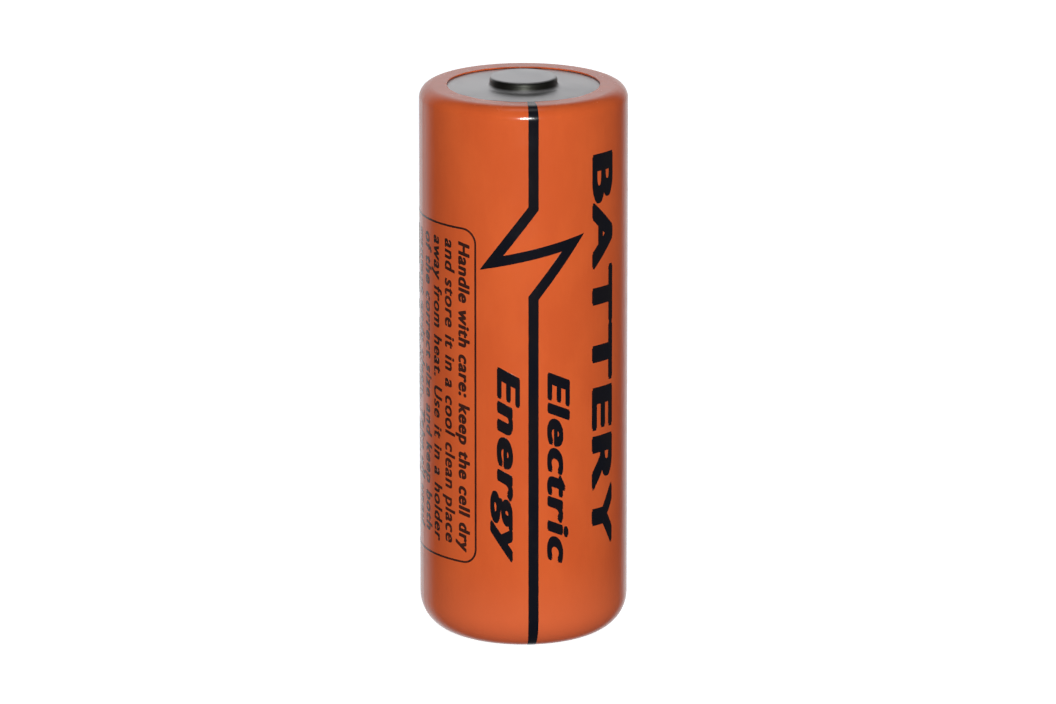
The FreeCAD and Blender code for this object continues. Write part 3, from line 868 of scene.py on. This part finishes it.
# %% Give every part its finish
NODE_FINISHES = {
    "cell_can": can_metal,
    "lid": lid_metal,
    "terminal_tube": tube_metal,
    "fill_ball": ball_metal,
    "tube_plug": plug_metal,
    "collector_mesh": mesh_metal,
    "collector_tab": tab_metal,
    "lithium_anode": lithium,
    "separator_tube": paper,
    "separator_cup": paper,
    "core_washer": paper,
    "carbon_cathode": carbon,
    "lid_board": board,
    "cap_spacer": moulded,
    "top_insulator": insulator,
    "glass_seal": seal_glass,
    "electrolyte": liquid,
    "shrink_sleeve": film,
    "positive_cap": nickel,
}
for node, material in NODE_FINISHES.items():
    part = frame["nodes"][node]
    part.data.materials.clear()
    part.data.materials.append(material)
print(f"{len(NODE_FINISHES)} parts of the packed model have their finish")

# %% [markdown]
# ## Studio
#
# The light has one job: to show an orange cylinder as round. A small lamp beside the camera
# makes the middle of the wall brightest, lets the sides fall off and leaves one glint on the
# shoulder. A faint lamp overhead lights the cap. A wide lamp behind lights the back without
# showing in the gloss. Soft grey surroundings, lighter behind than in front, give the edges
# their pale sheen and the metal something to reflect. The camera itself sees plain white.

# %% Set the surroundings
BACKDROP_GREY = 0.95
ROOM_GREY = 0.07
BACKDROP_SIDE = -0.17
BACKDROP_EDGE = (0.55, 0.92)


class World(Finish):
    """The surroundings, built with the same node methods as a material."""

    def __init__(self, name):
        self.material = bpy.data.worlds.new(name)
        self.material.use_nodes = True
        self.tree = self.material.node_tree
        self.tree.nodes.clear()
        self.end = self.tree.nodes.new("ShaderNodeOutputWorld")
        self.place = self.add("ShaderNodeTexCoord")

    def light(self, colour, strength):
        return self.add("ShaderNodeBackground", {}, {"Color": colour, "Strength": strength})


def seen_by_camera(finish, other, seen):
    """Mixes two shaders: what the camera sees directly, and what lights the object."""
    direct = finish.add("ShaderNodeLightPath")
    return finish.add("ShaderNodeMixShader", {}, {0: direct, 1: other, 2: seen})


def set_world():
    world = World("studio")
    towards = world.add(
        "ShaderNodeVectorMath", {"operation": "DOT_PRODUCT"},
        {0: world.place, 1: (BACKDROP_SIDE, 1.0, 0.0)}, output=1,
    )
    strength = towards.between(*BACKDROP_EDGE) * (BACKDROP_GREY - ROOM_GREY) + ROOM_GREY
    around_cell = world.light((1.0, 1.0, 1.02, 1), strength)
    white = world.light((1, 1, 1, 1), 1.05)
    world.show(seen_by_camera(world, around_cell, white))
    bpy.context.scene.world = world.material


set_world()


# %% Hang the lamps
def lamp(name, azimuth, elevation, distance, size, watts, mirrored=True):
    """A round area lamp aimed at the cell's middle; azimuth 0 is the camera's side."""
    light = bpy.data.lights.new(name, "AREA")
    light.shape = "DISK"
    light.size = size
    light.energy = watts
    holder = bpy.data.objects.new(name, light)
    flat = math.cos(math.radians(elevation))
    side = math.radians(azimuth)
    way = Vector((math.sin(side) * flat, -math.cos(side) * flat, math.sin(math.radians(elevation))))
    holder.location = cell_middle + way * distance
    holder.rotation_mode = "QUATERNION"
    holder.rotation_quaternion = (-way).to_track_quat("-Z", "Y")
    holder.visible_camera = False
    holder.visible_glossy = mirrored
    bpy.context.scene.collection.objects.link(holder)


lamp("lamp_beside_camera", azimuth=3, elevation=14, distance=0.8, size=0.12, watts=4.85)
lamp("lamp_overhead", azimuth=0, elevation=88, distance=0.7, size=0.3, watts=0.2)
lamp("lamp_behind", azimuth=180, elevation=2, distance=0.7, size=0.4, watts=2.6, mirrored=False)


# %% Lay the floor
FLOOR_GLOW = 0.85
FLOOR_BOUNCE = (0.45, 0.45, 0.45)


def make_floor():
    """A flat white floor that stays pale and keeps a faint shadow."""
    bm = bmesh.new()
    bmesh.ops.create_grid(bm, x_segments=1, y_segments=1, size=4.0)
    mesh = bpy.data.meshes.new("floor")
    bm.to_mesh(mesh)
    bm.free()
    floor = bpy.data.objects.new("floor", mesh)
    bpy.context.scene.collection.objects.link(floor)
    white = Finish("floor_white", roughness=1.0)
    white.set("Base Color", (0.8, 0.8, 0.8, 1))
    white.set("Emission Color", (1, 1, 1, 1))
    white.set("Emission Strength", FLOOR_GLOW)
    dim = white.add("ShaderNodeBsdfDiffuse", {}, {"Color": (*FLOOR_BOUNCE, 1)})
    lit = Value(white, white.shader.outputs[0])
    white.show(seen_by_camera(white, dim, lit))
    floor.data.materials.append(white.material)
    floor.visible_glossy = False


make_floor()
bpy.context.scene.view_settings.view_transform = "Standard"
